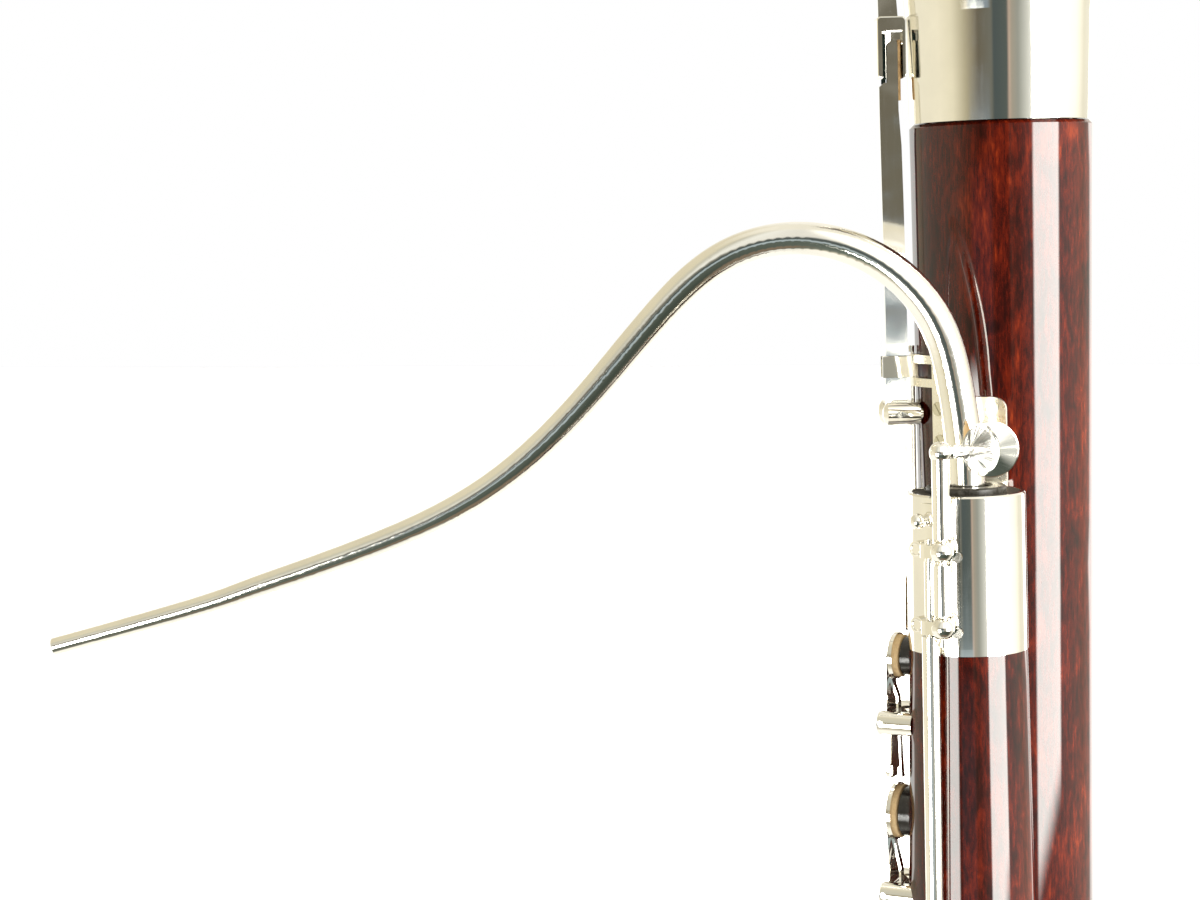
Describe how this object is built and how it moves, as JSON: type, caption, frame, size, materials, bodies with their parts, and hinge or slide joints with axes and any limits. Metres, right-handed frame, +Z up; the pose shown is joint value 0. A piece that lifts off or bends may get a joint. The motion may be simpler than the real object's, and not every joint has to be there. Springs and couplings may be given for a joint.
{
  "type": "bassoon",
  "caption": "Double-reed woodwind in red stained maple with silver-plated keywork, doubled tube and curved crook.",
  "frame": {"origin": "centre of the boot cap's flat underside", "axes": "+Z up along the joints to the bell, -X towards the player's thumbs, -Y from the long joint to the wing joint"},
  "size_m": [0.2998, 0.1404, 1.345],
  "materials": {
    "maple_red": "gloss",
    "silver_plate": "polished",
    "brushed_silver": "satin",
    "pad_leather": "matte",
    "cork": "matte",
    "thread": "matte",
    "black_rubber": "gloss",
    "steel": "satin",
    "white_ring": "gloss"
  },
  "bodies": {
    "body": {"boot_wood": "maple_red", "wing_joint_wood": "maple_red", "long_joint_wood": "maple_red", "bell_wood": "maple_red", "boot_cap": "silver_plate", "boot_band": "silver_plate", "bow_gasket": "cork", "u_tube": "brushed_silver", "strap_ring": "silver_plate", "wing_lining": "black_rubber", "wing_cap": "silver_plate", "bocal_collar": "black_rubber", "tenon_windings": "thread", "flick_tone_bushes": "black_rubber", "wing_posts": "silver_plate", "whisper_saddle": "silver_plate", "long_joint_ring": "silver_plate", "body_lock_plate": "silver_plate", "lock_plate_screws": "silver_plate", "long_joint_posts": "silver_plate", "lever_guide": "silver_plate", "rocker_pins": "steel", "bell_band": "silver_plate", "bell_ring": "white_ring", "bell_posts": "silver_plate", "boot_posts": "silver_plate", "hinge_rods": "steel"},
    "bocal": {"bocal_tube": "silver_plate", "bocal_pip": "silver_plate", "bocal_cork": "cork"},
    "whisper_key_body": {"whisper_key": "silver_plate", "whisper_pad": "pad_leather"},
    "whisper_lever_body": {"whisper_lever": "silver_plate"},
    "flick_upper_body": {"flick_key_upper": "silver_plate", "flick_pad_upper": "pad_leather"},
    "flick_lower_body": {"flick_key_lower": "silver_plate", "flick_pad_lower": "pad_leather"},
    "lock_rod_body": {"lock_rod": "silver_plate"},
    "flat_lever_body": {"long_b_flat_lever": "silver_plate", "lever_cork": "cork"},
    "bell_key_body": {"bell_key": "silver_plate", "bell_key_pad": "pad_leather"},
    "boot_thumb_body": {"boot_thumb_key": "silver_plate", "boot_thumb_pad": "pad_leather"},
    "low_b_body": {"low_b_key": "silver_plate", "low_b_pad": "pad_leather"},
    "low_c_body": {"low_c_key": "silver_plate", "low_c_pad": "pad_leather"},
    "low_d_body": {"low_d_key": "silver_plate", "low_d_pad": "pad_leather"},
    "e_flat_body": {"e_flat_key": "silver_plate", "e_flat_pad": "pad_leather"},
    "boot_f_body": {"boot_f_key": "silver_plate", "boot_f_pad": "pad_leather"},
    "boot_a_flat_body": {"boot_a_flat_key": "silver_plate", "boot_a_flat_pad": "pad_leather"},
    "boot_g_body": {"boot_g_key": "silver_plate", "boot_g_pad": "pad_leather"},
    "boot_e_body": {"boot_e_key": "silver_plate", "boot_e_pad": "pad_leather"}
  },
  "joints": [
    {"name": "whisper_close", "type": "hinge", "parent": "body", "child": "whisper_key_body", "pos_m": [-0.00105, -0.04307, 0.9175], "axis": [0, 0, 1], "range_deg": [0, 17], "stiffness_Nm_per_rad": 0.02, "springref_deg": -5.73},
    {"name": "whisper_thumb", "type": "hinge", "parent": "body", "child": "whisper_lever_body", "pos_m": [-0.00494, -0.04129, 0.637], "axis": [0, 0, 1], "range_deg": [-13, 0], "stiffness_Nm_per_rad": 0.02, "springref_deg": 4.58},
    {"name": "flick_upper_lift", "type": "hinge", "parent": "body", "child": "flick_upper_body", "pos_m": [-0.02195, -0.01997, 0.8408], "axis": [-0.0698, -0.9976, 0], "range_deg": [0, 6], "stiffness_Nm_per_rad": 0.05, "springref_deg": -5.73},
    {"name": "flick_lower_lift", "type": "hinge", "parent": "body", "child": "flick_lower_body", "pos_m": [-0.02195, -0.01997, 0.7925], "axis": [-0.0698, -0.9976, 0], "range_deg": [0, 6], "stiffness_Nm_per_rad": 0.05, "springref_deg": -5.73},
    {"name": "low_b_flat_close", "type": "hinge", "parent": "body", "child": "bell_key_body", "pos_m": [-0.03045, 0.0073, 1.104], "axis": [0.4226, -0.9063, 0], "range_deg": [-2.6, 0], "stiffness_Nm_per_rad": 0.2, "springref_deg": 2.86},
    {"name": "low_b_flat_thumb", "type": "hinge", "parent": "body", "child": "flat_lever_body", "pos_m": [-0.02837, 0.00827, 0.9238], "axis": [0.4226, -0.9063, 0], "range_deg": [0, 2.25], "stiffness_Nm_per_rad": 0.2, "springref_deg": -2.86},
    {"name": "boot_thumb_lift", "type": "hinge", "parent": "body", "child": "boot_thumb_body", "pos_m": [-0.033, 0, 0.328], "axis": [0, -1, 0], "range_deg": [0, 8], "stiffness_Nm_per_rad": 0.05, "springref_deg": -5.73},
    {"name": "low_b_close", "type": "hinge", "parent": "body", "child": "low_b_body", "pos_m": [-0.02313, 0.04091, 0.6], "axis": [0, 0, 1], "range_deg": [0, 10.5], "stiffness_Nm_per_rad": 0.05, "springref_deg": -5.73},
    {"name": "low_c_close", "type": "hinge", "parent": "body", "child": "low_c_body", "pos_m": [-0.02137, 0.03943, 0.6], "axis": [0, 0, 1], "range_deg": [0, 10.5], "stiffness_Nm_per_rad": 0.05, "springref_deg": -5.73},
    {"name": "low_d_close", "type": "hinge", "parent": "body", "child": "low_d_body", "pos_m": [-0.02084, 0.03898, 0.6], "axis": [0, 0, 1], "range_deg": [0, 10.5], "stiffness_Nm_per_rad": 0.05, "springref_deg": -5.73},
    {"name": "e_flat_lift", "type": "hinge", "parent": "body", "child": "e_flat_body", "pos_m": [0.02773, 0.0254, 0.6], "axis": [0, 0, 1], "range_deg": [-10, 0], "stiffness_Nm_per_rad": 0.05, "springref_deg": 5.73},
    {"name": "boot_f_close", "type": "hinge", "parent": "body", "child": "boot_f_body", "pos_m": [0.0335, -0.008, 0.15], "axis": [0, 0, 1], "range_deg": [0, 11.5], "stiffness_Nm_per_rad": 0.05, "springref_deg": -5.73},
    {"name": "boot_a_flat_lift", "type": "hinge", "parent": "body", "child": "boot_a_flat_body", "pos_m": [0.0335, -0.001, 0.27], "axis": [0, 0, 1], "range_deg": [-9, 0], "stiffness_Nm_per_rad": 0.05, "springref_deg": 5.73},
    {"name": "boot_g_close", "type": "hinge", "parent": "body", "child": "boot_g_body", "pos_m": [0.0335, -0.006, 0.35], "axis": [0, 0, 1], "range_deg": [0, 11.5], "stiffness_Nm_per_rad": 0.05, "springref_deg": -5.73},
    {"name": "boot_e_close", "type": "hinge", "parent": "body", "child": "boot_e_body", "pos_m": [-0.0335, 0.006, 0.262], "axis": [0, 0, 1], "range_deg": [0, 11.5], "stiffness_Nm_per_rad": 0.05, "springref_deg": -5.73},
    {"name": "bocal_pull", "type": "slide", "parent": "body", "child": "bocal", "axis": [0, 0, 1], "range_m": [0, 0.024]},
    {"name": "lock_rod_slide", "type": "slide", "parent": "body", "child": "lock_rod_body", "axis": [0, 0, 1], "range_m": [0, 0.005]}
  ],
  "couplings": [
    {"joint": "whisper_thumb", "follows": "whisper_close", "ratio": -0.72},
    {"joint": "low_b_flat_thumb", "follows": "low_b_flat_close", "ratio": -0.84}
  ]
}
